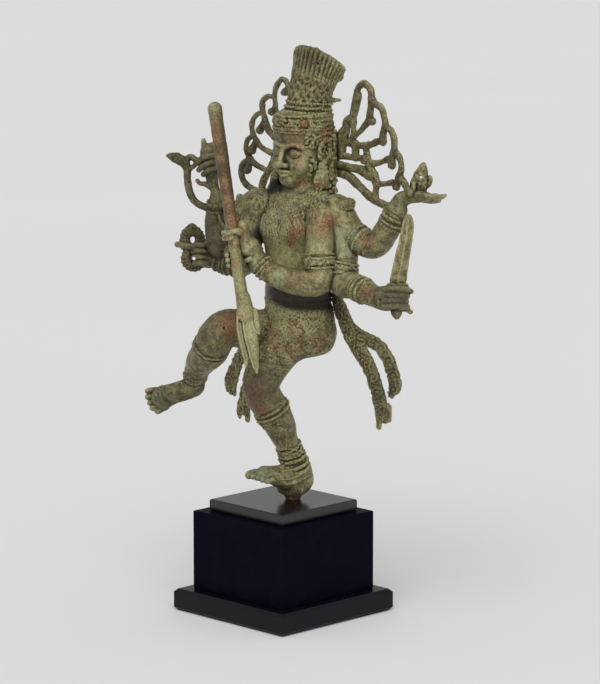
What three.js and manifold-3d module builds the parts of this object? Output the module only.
// A cast bronze figure of a dancing six-armed god on a stepped wooden plinth.
// Millimetres, +Z up. The origin is the middle of the plinth's underside, the figure faces -Y,
// and its own left hand side is +X.

import * as THREE from 'three';
import { mergeVertices } from 'three/addons/utils/BufferGeometryUtils.js';
import Module from 'manifold-3d';

const wasm = await Module();
wasm.setup();

// Driving dimensions
const FIGURE_HEIGHT = 305;
const FOOT_BOARD_SIDE = 104.5;
const FOOT_BOARD_HEIGHT = 15;
const FOOT_BOARD_EDGE = 2.2;
const BLOCK_SIDE = 85.5;
const BLOCK_HEIGHT = 53.8;
const BLOCK_EDGE = 0.5;
const TOP_BOARD_SIDE = 70;
const TOP_BOARD_HEIGHT = 7.9;
const TOP_BOARD_EDGE = 0.8;
const TANG_DIAMETER = 11;
const SHAFT_DIAMETER = 8;
const GRIP_CLEARANCE = 0.3;

const PLINTH_HEIGHT = FOOT_BOARD_HEIGHT + BLOCK_HEIGHT + TOP_BOARD_HEIGHT;

// The figure is laid out in hundredths of its height: across to its left, back, and up from the plinth.
const PART = FIGURE_HEIGHT / 100;

function at([across, back, up]) {
  return new THREE.Vector3(across * PART, back * PART, PLINTH_HEIGHT + up * PART);
}

// Joints of the pose, each as across, back, up and radius, all in parts.
const POSE = {
  standingLeg: [
    [3.2, 1.4, 37.6, 5.2], [2.7, -3.6, 33.6, 4.6], [1.4, -7.2, 28.6, 4.1], [1.2, -7.7, 25.4, 4.1], [1.9, -6.2, 21.4, 4.0],
    [2.2, -3.4, 17.5, 3.7], [2.2, -2.0, 15.0, 3.2], [2.3, -0.5, 12.4, 2.7], [2.3, 0.4, 10.2, 2.8],
    [2.2, 1.8, 7.1, 3.0], [2.3, 2.6, 4.4, 2.9],
  ],
  standingFoot: [[2.4, 2.6, 4.0, 2.9], [2.2, -2.0, 5.4, 2.9], [2.3, -6.6, 7.1, 2.7], [2.5, -9.4, 7.6, 2.6]],
  raisedThigh: [[-3.3, 4.1, 36.2, 5.2], [-7.0, -3.3, 37.8, 4.8], [-9.3, -9.0, 38.9, 4.1], [-10.6, -11.9, 36.6, 3.8]],
  raisedShin: [[-10.6, -11.9, 36.6, 3.8], [-12.8, -10.2, 32.8, 3.8], [-16.2, -8.9, 29.7, 3.1], [-20.3, -7.5, 26.5, 2.4],
    [-21.8, -6.7, 24.4, 2.5]],
  raisedFoot: [[-21.4, -6.3, 24.0, 2.7], [-24.5, -9.4, 22.1, 2.9], [-27.0, -11.9, 20.9, 3.1], [-28.3, -13.2, 20.5, 2.9]],
  leftRearArm: [[11.0, 5.5, 65.0, 3.4], [16.2, 5.2, 59.7, 3.3], [21.7, 6.1, 57.2, 3.1], [25.4, 6.6, 62.5, 2.6],
    [27.6, 7.0, 66.4, 2.1]],
  leftMiddleArm: [[12.4, 4.4, 64.0, 3.4], [15.2, 3.8, 56.9, 3.1], [15.9, 2.1, 50.4, 3.0], [20.8, 1.5, 48.9, 2.6],
    [24.9, 1.0, 48.4, 2.2]],
  leftFrontArm: [[10.6, 1.6, 63.6, 3.5], [12.7, -0.7, 56.0, 3.3], [13.3, -1.9, 49.5, 3.1], [9.1, -5.3, 50.0, 2.8],
    [4.1, -8.0, 52.1, 2.3], [1.6, -9.1, 54.2, 2.1]],
  rightRearArm: [[-9.2, 1.2, 64.6, 3.5], [-16.8, -1.1, 58.8, 3.6], [-19.0, -1.5, 54.6, 3.3], [-19.3, -2.7, 59.9, 2.8],
    [-19.0, -3.9, 64.9, 2.0]],
  rightMiddleArm: [[-9.9, 1.3, 62.3, 3.1], [-12.5, 0.5, 55.2, 3.0], [-13.2, 0.6, 50.4, 2.8], [-17.9, -0.4, 49.7, 2.4],
    [-21.0, -1.2, 50.6, 2.1]],
  rightFrontArm: [[-7.8, 0.4, 64.2, 3.4], [-8.4, -2.2, 57.1, 3.0], [-8.0, -4.3, 52.5, 2.8], [-5.9, -8.2, 54.6, 2.3],
    [-4.2, -10.4, 55.4, 2.0]],
};

// Level, half width, half depth, and the middle across and back, in parts.
const TRUNK = [
  [32.2, 5.4, 4.8, 1.2, 3.2], [33.6, 7.8, 6.8, 1.1, 3.9], [37.0, 8.8, 7.5, 0.8, 4.3], [39.8, 8.4, 6.8, 0.7, 4.3],
  [41.0, 8.6, 7.1, 0.7, 4.3], [42.6, 8.1, 6.6, 0.7, 4.2], [43.4, 7.2, 6.0, 0.7, 4.0], [47.5, 6.9, 5.8, 0.8, 4.0],
  [51.5, 7.6, 5.8, 0.9, 4.2], [53.2, 8.4, 6.0, 0.9, 4.2], [54.8, 9.0, 6.2, 0.9, 4.1], [58.8, 9.6, 6.3, 0.9, 4.0],
  [62.6, 10.0, 5.8, 0.8, 4.1], [65.9, 9.6, 5.2, 0.8, 4.4], [67.9, 6.4, 4.4, 0.8, 4.8],
];

// Level, half width, depth in front and depth behind, in parts, from the chin to the hair.
const HEAD = [
  [69.7, 2.2, 4.2, 2.4], [70.8, 3.9, 5.6, 4.8], [72.6, 5.2, 6.2, 6.2], [75.0, 6.0, 6.4, 6.9], [77.6, 6.4, 6.5, 7.2],
  [81.4, 6.5, 6.6, 7.0], [82.0, 6.9, 6.9, 7.1], [84.4, 6.2, 6.1, 6.3], [86.0, 4.9, 4.8, 5.0],
];
const HEAD_MIDDLE = [0.6, 5.8];

// Level, half width, half depth and the middle back, in parts, from the topknot's band to its flare.
const CROWN = [
  [84.0, 5.6, 5.4, 6.3], [86.6, 4.7, 4.6, 7.0], [89.2, 4.4, 4.4, 7.5], [92.2, 4.8, 4.7, 8.3], [95.8, 5.4, 5.2, 9.6],
];
const CROWN_LOCKS = 14;
const CROWN_LOCK_DEPTH = 0.055;
const CROWN_LEAN = 0.3;
const CROWN_TOP = 98.9;

// The fan of hair: five lobes a side, on an arc round a point behind the neck.
const FAN_MIDDLE = [1.1, 10.8, 70.6];
const FAN_LOBES = 5;
const FAN_RADIUS = 23.3;
const FAN_ASIDE = 0.6;
const FAN_FIRST_ANGLE = 51.6;
const FAN_PITCH = 14.4;
const LOCK_RADIUS = 0.75;

// The trident: both ends of its shaft, and the lengths of its prongs, in parts.
const SHAFT_TOP = [-7.2, -13.8, 88.9];
const SHAFT_FOOT = [1.2, -12.8, 42.7];
const MIDDLE_PRONG = 17.2;
const OUTER_PRONG = 14.8;
const BROKEN_PRONG = 6.8;

// Materials
const BRONZE = new THREE.MeshStandardMaterial({ color: 0x6a6a4c, roughness: 0.62, metalness: 0.55 });
const WORN_BRONZE = new THREE.MeshStandardMaterial({ color: 0x77744a, roughness: 0.5, metalness: 0.6 });
const BLACK_WOOD = new THREE.MeshStandardMaterial({ color: 0x17171b, roughness: 0.5, metalness: 0 });

// Closed bodies

const END_SHARE = 0.7;

function closedBody(points, triangles) {
  const geometry = new THREE.BufferGeometry();
  geometry.setAttribute('position', new THREE.Float32BufferAttribute(points.flatMap((p) => p.toArray()), 3));
  const volume = triangles.reduce((sum, [a, b, c]) => (
    sum + points[a].dot(new THREE.Vector3().crossVectors(points[b], points[c]))), 0);
  geometry.setIndex(triangles.flatMap(([a, b, c]) => (volume < 0 ? [a, c, b] : [a, b, c])));
  return geometry;
}

// A skin over rings of points, closed by a point at each end, or by joining the last ring to the first.
function skin(rings, ends = null) {
  const sides = rings[0].length;
  const points = rings.flat();
  const triangles = [];
  const joints = ends ? rings.length - 1 : rings.length;
  for (let ring = 0; ring < joints; ring += 1) {
    for (let side = 0; side < sides; side += 1) {
      const next = (side + 1) % sides;
      const here = ring * sides;
      const there = ((ring + 1) % rings.length) * sides;
      triangles.push([here + side, here + next, there + next], [here + side, there + next, there + side]);
    }
  }
  if (ends) {
    const last = (rings.length - 1) * sides;
    for (let side = 0; side < sides; side += 1) {
      const next = (side + 1) % sides;
      triangles.push([points.length, next, side], [points.length + 1, last + side, last + next]);
    }
    points.push(...ends);
  }
  return closedBody(points, triangles);
}

function middleOf(ring) {
  return ring.reduce((sum, p) => sum.add(p), new THREE.Vector3()).divideScalar(ring.length);
}

// Crosswise directions along a path, each turned as little as possible from the one before.
function crossings(path, facing, isClosed) {
  let flat = facing.clone();
  return path.map((point, i) => {
    const before = path[isClosed ? (i + path.length - 1) % path.length : Math.max(i - 1, 0)];
    const after = path[isClosed ? (i + 1) % path.length : Math.min(i + 1, path.length - 1)];
    const along = after.clone().sub(before).normalize();
    flat = flat.clone().addScaledVector(along, -flat.dot(along)).normalize();
    return { point, along, flat, wide: new THREE.Vector3().crossVectors(along, flat) };
  });
}

// A ring of straight sides with the area of the round one.
function ringAt({ point, flat, wide }, radius, thinness, sides, shift = new THREE.Vector3()) {
  const turn = (2 * Math.PI) / sides;
  const corner = radius * Math.sqrt(turn / Math.sin(turn));
  return Array.from({ length: sides }, (_, i) => (
    point.clone().add(shift)
      .addScaledVector(flat, corner * thinness * Math.cos((i + 0.5) * turn))
      .addScaledVector(wide, corner * Math.sin((i + 0.5) * turn))));
}

// A limb through joints of across, back, up and radius, thinned across the way it faces, with pointed or round ends.
function limb(joints, { sides = 4, thinness = 1, facing = [0.3, -1, 0.2], round = false } = {}) {
  const path = joints.map(at);
  const girth = joints.map((joint) => joint[3] * PART);
  const frames = crossings(path, new THREE.Vector3(...facing), false);
  const rings = frames.map((frame, i) => ringAt(frame, girth[i], thinness, sides));
  const first = frames[0];
  const last = frames[frames.length - 1];
  const firstGirth = girth[0] * END_SHARE;
  const lastGirth = girth[girth.length - 1] * END_SHARE;
  const firstShift = first.along.clone().multiplyScalar(-firstGirth * Math.min(thinness, 1));
  const lastShift = last.along.clone().multiplyScalar(lastGirth * Math.min(thinness, 1));
  const reach = round ? 1.4 : 1;
  if (round) {
    rings.unshift(ringAt(first, firstGirth, thinness, sides, firstShift));
    rings.push(ringAt(last, lastGirth, thinness, sides, lastShift));
  }
  return skin(rings, [
    first.point.clone().addScaledVector(firstShift, reach),
    last.point.clone().addScaledVector(lastShift, reach),
  ]);
}

// A rolled band that closes on itself.
function band(path, radius) {
  const frames = crossings(path.map(at), new THREE.Vector3(0.7, -0.7, 0), true);
  return skin(frames.map((frame) => ringAt(frame, radius * PART, 1, 4)));
}

function bead(middle, radius) {
  const geometry = new THREE.IcosahedronGeometry(radius * PART, 0);
  geometry.translate(...at(middle).toArray());
  return geometry;
}

function solid(geometry) {
  const bare = geometry.clone();
  bare.deleteAttribute('normal');
  bare.deleteAttribute('uv');
  const merged = mergeVertices(bare, 1e-4);
  return new wasm.Manifold(new wasm.Mesh({
    numProp: 3,
    vertProperties: merged.attributes.position.array,
    triVerts: Uint32Array.from(merged.index.array),
  }));
}

function joined(geometries) {
  return geometries.map(solid).reduce((whole, piece) => whole.add(piece));
}

function mesh(body, name, material) {
  const { vertProperties, triVerts } = body.getMesh();
  const geometry = new THREE.BufferGeometry();
  geometry.setAttribute('position', new THREE.BufferAttribute(vertProperties, 3));
  geometry.setIndex(new THREE.BufferAttribute(triVerts, 1));
  const piece = new THREE.Mesh(geometry, material);
  piece.name = name;
  return piece;
}

const lerp = THREE.MathUtils.lerp;
const between = (a, b, share) => a.map((value, i) => lerp(value, b[i], share));
const offset = (a, b) => a.map((value, i) => value + b[i]);
const away = (from, to) => to.slice(0, 3).map((value, i) => value - from[i]);

// Trunk and head

function ovalRing(level, halfWidth, front, behind, middle, count) {
  return Array.from({ length: count }, (_, i) => {
    const angle = (2 * Math.PI * i) / count;
    const depth = Math.sin(angle) < 0 ? front : behind;
    return at([middle[0] + halfWidth * Math.cos(angle), middle[1] + depth * Math.sin(angle), level]);
  });
}

function trunk() {
  const rings = TRUNK.map(([level, halfWidth, halfDepth, across, back]) => (
    ovalRing(level, halfWidth, halfDepth, halfDepth, [across, back], 12)));
  return skin(rings, [middleOf(rings[0]), middleOf(rings[rings.length - 1])]);
}

function head() {
  const rings = HEAD.map(([level, halfWidth, front, behind]) => (
    ovalRing(level, halfWidth, front, behind, HEAD_MIDDLE, 14)));
  return skin(rings, [middleOf(rings[0]), middleOf(rings[rings.length - 1])]);
}

// Brows, nose, eyes, lips and chin on even thirds of the face.
function features() {
  const [across, back] = HEAD_MIDDLE;
  const front = back - 6.4;
  const pieces = [
    limb([[across, front + 0.4, 79.6, 0.6], [across, front - 0.8, 76.2, 1.0]]),
    limb([[across - 1.7, front + 1.0, 74.0, 0.5], [across, front + 0.3, 74.0, 0.8], [across + 1.7, front + 1.0, 74.0, 0.5]]),
    bead([across, front + 0.9, 71.2], 1.5),
  ];
  for (const side of [-1, 1]) {
    pieces.push(bead([across + side * 2.5, front + 1.15, 78.2], 1.5));
    pieces.push(limb([[across + side * 0.9, front + 0.3, 79.9, 0.4], [across + side * 2.7, front + 0.6, 80.5, 0.45],
      [across + side * 4.4, front + 1.8, 79.8, 0.35]]));
  }
  return pieces;
}

// Rosettes on the headband, ears with leaf pendants, curls behind them and a hairpin.
function headDress() {
  const [across, back] = HEAD_MIDDLE;
  const pieces = [
    limb([[across + 3.4, back + 2.6, 87.2, 1.2], [across + 8.4, back + 3.8, 87.6, 0.5]], { sides: 5 }),
  ];
  for (const degrees of [-130, -90, -50]) {
    const angle = THREE.MathUtils.degToRad(degrees);
    pieces.push(bead([across + 6.3 * Math.cos(angle), back + 6.3 * Math.sin(angle), 83.4], 1.3));
  }
  for (const side of [-1, 1]) {
    pieces.push(limb([[across + side * 6.2, back - 0.2, 79.4, 0.8], [across + side * 6.6, back - 0.8, 77.6, 1.7],
      [across + side * 6.3, back - 0.9, 74.4, 0.9], [across + side * 6.3, back - 1.4, 71.4, 1.8],
      [across + side * 5.8, back - 1.8, 68.2, 0.35]], { thinness: 0.55, facing: [1, -0.4, 0] }));
    pieces.push(limb([[across + side * 6.3, back + 2.7, 80.0, 1.8], [across + side * 5.9, back + 3.0, 77.8, 1.6],
      [across + side * 5.9, back + 3.2, 75.4, 2.0], [across + side * 5.7, back + 3.4, 72.6, 1.4],
      [across + side * 5.8, back + 3.4, 69.6, 2.0], [across + side * 6.2, back + 3.0, 67.0, 1.5]]));
  }
  return pieces;
}

// The topknot: a sheaf of upright locks that flares and leans back, each lock with a round end.
function crown() {
  const count = CROWN_LOCKS * 2;
  const rings = CROWN.map(([level, halfWidth, halfDepth, back], k) => {
    const rise = k / (CROWN.length - 1);
    return Array.from({ length: count }, (_, i) => {
      const angle = (2 * Math.PI * i) / count;
      const swell = 1 + CROWN_LOCK_DEPTH * rise * Math.cos(CROWN_LOCKS * angle);
      const y = halfDepth * swell * Math.sin(angle);
      return at([1.0 + halfWidth * swell * Math.cos(angle), back + y, level - y * CROWN_LEAN * rise]);
    });
  });
  const [level, halfWidth, halfDepth, back] = CROWN[CROWN.length - 1];
  for (const [share, lift] of [[0.86, 1.5], [0.5, CROWN_TOP - level]]) {
    rings.push(Array.from({ length: count }, (_, i) => {
      const angle = (2 * Math.PI * i) / count;
      const y = halfDepth * share * Math.sin(angle);
      const dome = lift + 0.35 * share * Math.cos(CROWN_LOCKS * angle);
      return at([1.0 + halfWidth * share * Math.cos(angle), back + y, level + dome - y * CROWN_LEAN]);
    }));
  }
  return skin(rings, [middleOf(rings[0]), middleOf(rings[rings.length - 1])]);
}

// Fans of hair. A lock is laid out by its reach from the fan's middle and its turn from the lobe's own angle.
function fanPoint(side, reach, degrees, radius) {
  const angle = THREE.MathUtils.degToRad(degrees);
  return [FAN_MIDDLE[0] + side * (FAN_ASIDE + reach * Math.cos(angle)), FAN_MIDDLE[1], FAN_MIDDLE[2] + reach * Math.sin(angle), radius];
}

function fanLock(side, lobe) {
  const angle = FAN_FIRST_ANGLE - FAN_PITCH * lobe;
  const spine = [[0.3, -9.5, 1], [0.56, -12.6, 1], [0.85, -10.6, 1], [0.99, -3, 1], [1.02, 6.5, 1.1], [0.91, 9.5, 1.9]];
  const joints = spine.map(([share, turn, swell]) => (
    fanPoint(side, share * FAN_RADIUS, angle + turn, swell * LOCK_RADIUS)));
  return limb(joints, { facing: [0, 1, 0] });
}

function hairFan(side) {
  const pieces = [];
  for (let lobe = 0; lobe < FAN_LOBES; lobe += 1) {
    pieces.push(fanLock(side, lobe));
  }
  const inner = [[5.0, 58], [9.5, 66], [16.0, 66.5], [23.2, 64]];
  pieces.push(limb(inner.map(([reach, turn]) => fanPoint(side, reach, turn, 1.15)), { facing: [0, 1, 0] }));
  const rib = [66, 40, 13, -14].map((turn) => fanPoint(side, 11.0, turn, 1.3));
  pieces.push(limb(rib, { facing: [0, 1, 0] }));
  return pieces;
}

// The lowest near lock runs down to the raised left wrist and holds it.
function wristLock() {
  const wrist = POSE.leftRearArm[4];
  return limb([fanPoint(1, 7.5, -6, 0.9), fanPoint(1, 17.0, -17, 0.9),
    [wrist[0] - 3.0, wrist[1] + 2.0, wrist[2] - 0.2, 0.9], [wrist[0] - 0.6, wrist[1], wrist[2] - 0.6, 0.9]],
  { facing: [0, 1, 0] });
}

// Arms

// The joints with raised rings added: each at a share of one stretch, standing proud by some parts.
function ringed(joints, rings) {
  const result = [...joints];
  for (const [stretch, share, proud] of [...rings].sort((a, b) => b[0] + b[1] - a[0] - a[1])) {
    const [from, to] = [joints[stretch], joints[stretch + 1]];
    const added = [[-0.09, 0], [0, proud], [0.09, 0]].map(([step, grow]) => {
      const [x, y, z, radius] = between(from, to, share + step);
      return [x, y, z, radius + grow];
    });
    result.splice(stretch + 1, 0, ...added);
  }
  return result;
}

// An arm with an armlet and a wide bracelet.
function arm(joints) {
  const last = joints.length - 2;
  return limb(ringed(joints, [[0, 0.82, 0.5], [last, 0.6, 0.6]]), { sides: 6 });
}

// A closed hand: its fingers curl round a grip in one or two bundles, and the palm lies behind.
function fist(grip, axis, towardPalm, gripRadius, bundles) {
  const along = new THREE.Vector3(...axis).normalize();
  const back = new THREE.Vector3(...towardPalm);
  back.addScaledVector(along, -back.dot(along)).normalize();
  const side = new THREE.Vector3().crossVectors(along, back);
  const reach = gripRadius + 0.75;
  const curl = (shift, width) => {
    const joints = [40, 115, 190, 250].map((degrees) => {
      const angle = THREE.MathUtils.degToRad(degrees);
      const point = new THREE.Vector3(...grip).addScaledVector(along, shift)
        .addScaledVector(back, reach * Math.cos(angle)).addScaledVector(side, reach * Math.sin(angle));
      return [...point.toArray(), 0.85];
    });
    return limb(joints, { facing: axis, thinness: width });
  };
  const palm = new THREE.Vector3(...grip).addScaledVector(back, gripRadius + 1.0);
  const heel = palm.clone().addScaledVector(along, -2.4).toArray();
  const knuckles = palm.clone().addScaledVector(along, 2.2).toArray();
  const fingers = bundles === 2 ? [curl(-1.2, 1.35), curl(1.2, 1.35)] : [curl(0, 2.7)];
  return [limb([[...heel, 1.9], [...knuckles, 1.9]], { sides: 6, thinness: 0.8, facing: towardPalm }), ...fingers];
}

// The raised left hand lies open and carries a flame.
function flameHand() {
  const wrist = POSE.leftRearArm[4].slice(0, 3);
  const palm = offset(wrist, [1.8, 1.6, 2.7]);
  const knuckle = offset(wrist, [3.7, 4.0, 3.1]);
  const pieces = [
    limb([[...wrist, 2.0], [...palm, 2.2], [...knuckle, 1.8]], { sides: 6, thinness: 0.7, facing: [0, 0, 1] }),
  ];
  for (const spread of [-0.9, 0.9]) {
    const root = offset(knuckle, [-spread, spread, 0]);
    const tip = offset(root, [3.0 - 0.2 * spread, 3.4, 0.3 * spread]);
    pieces.push(limb([[...root, 1.1], [...tip, 0.8]], { thinness: 0.7, facing: [0, 0, 1] }));
  }
  pieces.push(limb([[...palm, 0.9], [...offset(palm, [1.8, -0.8, 1.4]), 0.8], [...offset(palm, [2.9, 0.2, 3.2]), 0.6]]));
  const seat = offset(palm, [2.0, 1.6, 1.4]);
  pieces.push(limb([[...seat, 2.2], [...offset(seat, [0.1, 0.1, 2.4]), 2.3], [...offset(seat, [0.3, 0.2, 4.6]), 1.2],
    [...offset(seat, [0.4, 0.3, 6.2]), 0.4]], { sides: 6 }));
  return pieces;
}

// The middle left hand holds a short broad sword upright.
function swordHand() {
  const grip = [30.6, 2.9, 47.8];
  const sword = [[30.2, 2.6, 43.6, 1.0], [30.5, 2.9, 47.0, 1.0], [31.0, 3.4, 50.6, 1.7], [31.5, 3.9, 54.4, 2.1],
    [32.1, 4.5, 59.2, 2.1], [32.7, 5.1, 63.6, 1.9], [33.0, 5.4, 66.2, 0.9]];
  return [
    ...fist(grip, [0.1, 0.1, 1], [-1, -0.4, 0.1], 1.1, 2),
    limb([POSE.leftMiddleArm[4], [28.8, 2.0, 47.9, 2.1]], { sides: 6 }),
    limb(sword, { thinness: 0.36, facing: [1, -1, 0] }),
    limb([[31.6, 1.8, 46.6, 0.7], [34.4, 2.4, 45.2, 0.45]]),
  ];
}

// The raised right hand holds a cobra, whose body loops back to the arm.
function cobraHand() {
  const wrist = POSE.rightRearArm[4].slice(0, 3);
  const grip = offset(wrist, [-0.3, -0.4, 5.6]);
  const cobra = [[-19.6, -3.3, 61.8, 1.1], [-22.9, -4.5, 63.4, 1.0], [-24.4, -5.2, 66.6, 1.0], [-24.7, -5.5, 70.3, 1.1],
    [-25.2, -6.0, 72.6, 1.6], [-26.4, -7.1, 73.7, 1.7], [-27.9, -8.4, 74.6, 0.9]];
  return [
    limb([[...wrist, 2.0], [...grip, 2.2]], { sides: 6 }),
    ...fist(grip, [0.75, 0.75, 0.1], [0.3, 0.2, -1], 0.9, 1),
    limb([[...offset(grip, [-0.2, -0.4, 2.2]), 0.9], [...offset(grip, [0.1, -0.6, 7.2]), 0.35]]),
    limb(cobra, { sides: 5 }),
    limb([[...offset(grip, [-2.0, -1.0, 0.6]), 0.8], [-24.6, -5.8, 72.4, 0.8]]),
    limb([[...offset(wrist, [-0.8, -0.6, 2.0]), 0.9], [...offset(wrist, [-2.4, -2.0, 2.2]), 0.6],
      [...offset(wrist, [-3.0, -2.6, 3.4]), 0.45]]),
  ];
}

// The middle right hand holds a noose twisted into two eyes.
function nooseHand() {
  const wrist = POSE.rightMiddleArm[4];
  const grip = [-24.2, -2.6, 53.2];
  const eye = (middle, halfHeight, halfWidth) => Array.from({ length: 9 }, (_, i) => {
    const angle = (2 * Math.PI * i) / 9;
    return [middle[0] + 0.74 * halfWidth * Math.cos(angle), middle[1] + 0.67 * halfWidth * Math.cos(angle),
      middle[2] + halfHeight * Math.sin(angle)];
  });
  return [
    limb([wrist, [...between(wrist.slice(0, 3), grip, 0.6), 2.2], [...grip, 1.7]], { sides: 6 }),
    limb([[...offset(grip, [1.2, 0.4, 0.9]), 0.9], [...offset(grip, [-3.2, -3.0, 0.6]), 0.5]]),
    band(eye([-24.6, -3.4, 56.0], 2.5, 2.3), 0.95),
    band(eye([-24.7, -3.5, 50.8], 2.5, 2.1), 0.95),
  ];
}

// Both front hands clasp the trident's shaft.
const SHAFT_AXIS = away(SHAFT_FOOT, SHAFT_TOP);
const LEFT_GRIP = between(SHAFT_TOP, SHAFT_FOOT, 0.645);
const RIGHT_GRIP = between(SHAFT_TOP, SHAFT_FOOT, 0.735);
const SHAFT_RADIUS = SHAFT_DIAMETER / 2;

function shaftHands() {
  const gripRadius = SHAFT_RADIUS / PART;
  return [
    ...fist(LEFT_GRIP, SHAFT_AXIS, away(LEFT_GRIP, [1.6, -9.1, 57.0]), gripRadius, 2),
    limb([POSE.leftFrontArm[5], [0.5, -10.3, 57.6, 2.0]], { sides: 6 }),
    ...fist(RIGHT_GRIP, SHAFT_AXIS, away(RIGHT_GRIP, [-5.0, -7.0, 55.2]), gripRadius, 1),
  ];
}

// Legs

// Five toes side by side at the end of a foot, growing toward the great toe.
function toes(foot, across, length, radius) {
  const tip = foot[foot.length - 1];
  const along = new THREE.Vector3(...away(foot[foot.length - 2], tip)).normalize();
  return [-2, -1, 0, 1, 2].map((place) => {
    const grown = 1 + 0.14 * place;
    const root = new THREE.Vector3(...tip.slice(0, 3))
      .addScaledVector(new THREE.Vector3(...across), place * radius * 2);
    const end = root.clone().addScaledVector(along, length * grown);
    return limb([[...root.toArray(), radius * grown], [...end.toArray(), radius * grown]]);
  });
}

// Bare legs with a band below each knee, anklets, and folds round the standing ankle.
function legs() {
  const { standingLeg, standingFoot, raisedThigh, raisedShin, raisedFoot } = POSE;
  return [
    limb(ringed(standingLeg, [[1, 0.3, 0.6], [4, 0.4, 0.5], [7, 0.6, 0.7], [8, 0.9, 0.6]]), { sides: 8 }),
    limb(standingFoot, { sides: 6, thinness: 0.62, facing: [0, 0, 1] }),
    ...toes(standingFoot, [-1, 0, 0], 1.8, 0.75),
    limb(raisedThigh, { sides: 7 }),
    limb(ringed(raisedShin, [[0, 0.75, 0.5], [3, 0.5, 0.6]]), { sides: 7 }),
    limb(raisedFoot, { sides: 6, thinness: 0.6, facing: [0.55, -0.55, 0.5] }),
    ...toes(raisedFoot, [0.35, -0.35, -0.87], 1.7, 0.75),
  ];
}

// The tang under the heel widens into the casting left under the sole and stands on the plinth.
function tang() {
  const radius = TANG_DIAMETER / 2;
  const profile = [[0, 0], [radius, 0], [radius, 2], [radius * 1.9, 6], [radius * 2.1, 12], [0, 12]];
  const body = new THREE.LatheGeometry(profile.map(([x, y]) => new THREE.Vector2(x, y)), 12);
  body.rotateX(Math.PI / 2);
  const foot = at([1.3, 1.7, 0]);
  body.translate(foot.x, foot.y, foot.z);
  return body;
}

// Dress and ornament

// A broad collar of rows that lie forward on the chest.
function collar() {
  const rows = [[61.6, 8.2, 7.0], [62.6, 8.3, 7.2], [63.8, 6.6, 6.2], [64.8, 6.6, 6.2], [65.8, 4.8, 4.9], [67.4, 4.0, 4.0]];
  const rings = rows.map(([level, halfWidth, halfDepth]) => Array.from({ length: 12 }, (_, i) => {
    const angle = (2 * Math.PI * (i + 0.5)) / 12;
    const y = halfDepth * Math.sin(angle);
    return at([0.6 + halfWidth * Math.cos(angle), 4.2 + y, level + y * 0.42]);
  }));
  return skin(rings, [middleOf(rings[0]), middleOf(rings[rings.length - 1])]);
}

const HIP_PENDANTS = [[3.3, -4.9, 38.0], [7.0, -2.4, 37.6], [9.2, 1.2, 37.0]];

// The hip cloth wraps both thighs, with pendants in front.
function hipCloth() {
  const pieces = [
    limb([[-2.6, 3.4, 36.6, 6.4], [-5.4, -0.8, 37.4, 5.7]], { sides: 8 }),
  ];
  for (const [across, back, level] of HIP_PENDANTS) {
    pieces.push(limb([[across, back + 0.6, level + 2.6, 1.1], [across, back, level, 1.5], [across, back + 1.0, level - 2.8, 0.6]]));
  }
  return pieces;
}

// A cloth tail: a flat strip that leaves the back of the waist in the plane of the hips.
const TAIL_BACK = 8.5;
const TAILS = [
  [[3.6, 50.4, 1.4], [6.6, 47.4, 1.7], [9.0, 43.2, 2.0], [12.4, 38.8, 2.6], [16.4, 34.6, 2.5], [20.0, 28.6, 2.3],
    [21.6, 22.0, 2.3], [22.4, 18.0, 2.3]],
  [[12.4, 39.4, 2.4], [17.4, 36.6, 2.0], [21.9, 34.4, 2.1], [24.6, 29.8, 2.3], [26.0, 26.2, 2.1]],
  [[-1.6, 47.4, 1.6], [-6.6, 45.2, 1.7], [-12.4, 41.0, 2.0], [-19.4, 32.4, 2.2], [-23.6, 25.2, 2.5], [-26.0, 20.0, 2.2]],
  [[-12.6, 40.4, 2.0], [-17.2, 29.4, 2.1], [-20.2, 19.8, 2.0], [-21.6, 15.8, 2.1]],
];

function clothTails() {
  return TAILS.map((strip) => limb(strip.map(([across, up, radius]) => [across, TAIL_BACK, up, radius]),
    { thinness: 0.4, facing: [0, 1, 0] }));
}

// A stub of cloth stands up on each shoulder.
function shoulderStubs() {
  return [
    limb([[13.2, 4.9, 64.6, 2.0], [14.9, 5.3, 66.4, 1.6]]),
    limb([[-11.8, 1.6, 62.8, 2.0], [-13.2, 1.4, 65.0, 1.5]]),
  ];
}

// Trident

// Points along the shaft's line, in parts past its foot, shifted sideways.
function pastFoot(along, aside) {
  const axis = new THREE.Vector3(...SHAFT_AXIS).normalize();
  const side = new THREE.Vector3(0.7, 0.7, 0);
  side.addScaledVector(axis, -side.dot(axis)).normalize();
  return new THREE.Vector3(...SHAFT_FOOT).addScaledVector(axis, -along).addScaledVector(side, aside).toArray();
}

function shaft(radius) {
  const [top, foot] = [at(SHAFT_TOP), at(SHAFT_FOOT)];
  const length = top.distanceTo(foot);
  const profile = [[0, 0], [radius, 0], [radius, length - radius * 0.5], [radius * 0.6, length], [0, length]];
  const body = new THREE.LatheGeometry(profile.map(([x, y]) => new THREE.Vector2(x, y)), 12);
  body.applyQuaternion(new THREE.Quaternion().setFromUnitVectors(
    new THREE.Vector3(0, 1, 0), top.clone().sub(foot).normalize()));
  body.translate(foot.x, foot.y, foot.z);
  return body;
}

// A leaf-shaped blade beside the shaft's line, given the middle and half width of its leaf.
function prong(length, aside, width, tip) {
  const joints = [[-0.6, aside * 0.3, width * 0.7], [0.14, aside * 0.9, width * 0.8], [0.4, aside, width],
    [0.75, (aside + tip) * 0.5, width * 0.62], [1, tip, 0.12]];
  return limb(joints.map(([share, side, radius]) => [...pastFoot(share * length, side), radius]),
    { thinness: 0.6, facing: [1, 0.15, 0] });
}

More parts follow.
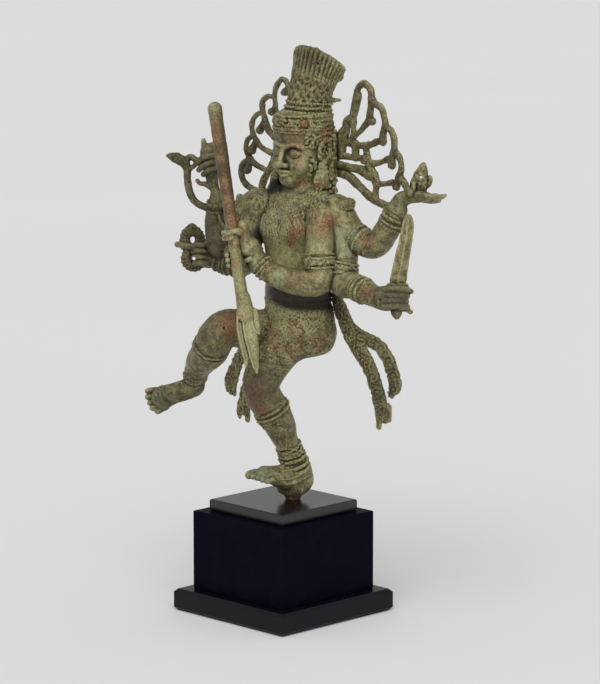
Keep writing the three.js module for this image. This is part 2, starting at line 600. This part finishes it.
function trident() {
  return joined([
    shaft(SHAFT_RADIUS),
    limb([[...pastFoot(-1.2, 0), SHAFT_RADIUS / PART + 0.25], [...pastFoot(1.6, 0), 1.9]], { sides: 8 }),
    prong(MIDDLE_PRONG, 0.45, 1.5, 0.5),
    prong(OUTER_PRONG, -1.5, 1.1, -0.6),
    prong(BROKEN_PRONG, 2.1, 0.9, 1.9),
  ]);
}

// The whole figure, cast in one, with the trident's way cut through both fists.
function figure() {
  const cast = joined([
    trunk(), head(), ...features(), ...headDress(), crown(),
    limb([[0.7, 4.9, 65.5, 4.2], [0.7, 5.6, 71.5, 3.9]], { sides: 8 }),
    ...hairFan(1), ...hairFan(-1), wristLock(),
    arm(POSE.leftRearArm), arm(POSE.leftMiddleArm), arm(POSE.leftFrontArm),
    arm(POSE.rightRearArm), arm(POSE.rightMiddleArm), arm(POSE.rightFrontArm),
    ...flameHand(), ...swordHand(), ...cobraHand(), ...nooseHand(), ...shaftHands(),
    ...legs(), collar(), ...hipCloth(), ...clothTails(), ...shoulderStubs(), tang(),
  ]);
  return cast.subtract(solid(shaft(SHAFT_RADIUS + GRIP_CLEARANCE)));
}

// Plinth

function board(side, height, edge) {
  const half = side / 2 - edge;
  const square = new THREE.Shape([[-half, -half], [half, -half], [half, half], [-half, half]]
    .map(([x, y]) => new THREE.Vector2(x, y)));
  const body = new THREE.ExtrudeGeometry(square, {
    depth: height - 2 * edge, bevelEnabled: true, bevelThickness: edge, bevelSize: edge, bevelSegments: 1,
  });
  body.translate(0, 0, edge);
  return solid(body);
}

function plinth() {
  const tiers = [
    ['plinth_foot_board', FOOT_BOARD_SIDE, FOOT_BOARD_HEIGHT, FOOT_BOARD_EDGE],
    ['plinth_block', BLOCK_SIDE, BLOCK_HEIGHT, BLOCK_EDGE],
    ['plinth_top_board', TOP_BOARD_SIDE, TOP_BOARD_HEIGHT, TOP_BOARD_EDGE],
  ];
  let level = 0;
  return tiers.map(([name, side, height, edge]) => {
    const tier = mesh(board(side, height, edge), name, BLACK_WOOD);
    tier.position.z = level;
    level += height;
    return tier;
  });
}

const group = new THREE.Group();
group.add(...plinth());
group.add(mesh(figure(), 'figure', BRONZE));
group.add(mesh(trident(), 'trident', WORN_BRONZE));

export default group;
